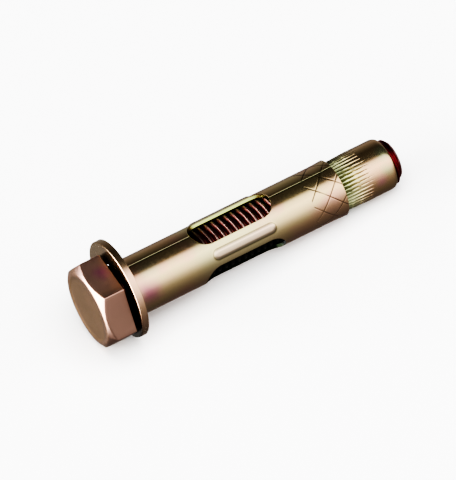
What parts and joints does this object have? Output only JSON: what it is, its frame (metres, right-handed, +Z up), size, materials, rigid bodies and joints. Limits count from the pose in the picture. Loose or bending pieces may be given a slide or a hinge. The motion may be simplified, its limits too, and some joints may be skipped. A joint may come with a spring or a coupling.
{
  "type": "sleeve anchor",
  "caption": "Hex-bolt sleeve anchor for masonry: turning the bolt draws a ribbed cone nut into a slit, windowed sleeve.",
  "frame": {"origin": "on the bolt's axis, in the plane where the washer's back face meets the sleeve, which is where the fastened plate begins", "axes": "+X along the bolt from head to tip, +Z up with the anchor lying on its side, on the washer's rim and the nut, turned until one corner of the hex head meets the floor"},
  "size_m": [0.0714, 0.021, 0.0212],
  "materials": {
    "plated_bolt": "yellow zinc plated, satin gloss with purple tints",
    "plated_washer": "yellow zinc plated, satin gloss",
    "plated_sleeve": "yellow zinc plated rolled sheet, glossy with pink and green tints",
    "plated_nut": "yellow zinc plated, satin gloss, ribbed"
  },
  "bodies": {
    "sleeve": {"expansion_sleeve": "plated_sleeve"},
    "bolt": {"hex_bolt": "plated_bolt"},
    "washer": {"washer": "plated_washer"},
    "nut": {"cone_nut": "plated_nut"}
  },
  "joints": [
    {"name": "bolt_turn", "type": "hinge", "parent": "sleeve", "child": "bolt", "pos_m": [0, 0, 0], "axis": [-1, 0, 0], "range_deg": [0, 1080]},
    {"name": "nut_travel", "type": "slide", "parent": "sleeve", "child": "nut", "axis": [1, 0, 0], "range_m": [0, 0.0045]},
    {"name": "washer_spin", "type": "hinge", "parent": "sleeve", "child": "washer", "pos_m": [0, 0, 0.00126], "axis": [1, 0, 0], "continuous": true}
  ],
  "couplings": [
    {"joint": "nut_travel", "follows": "bolt_turn", "m_per_rad": 0.00023873}
  ]
}
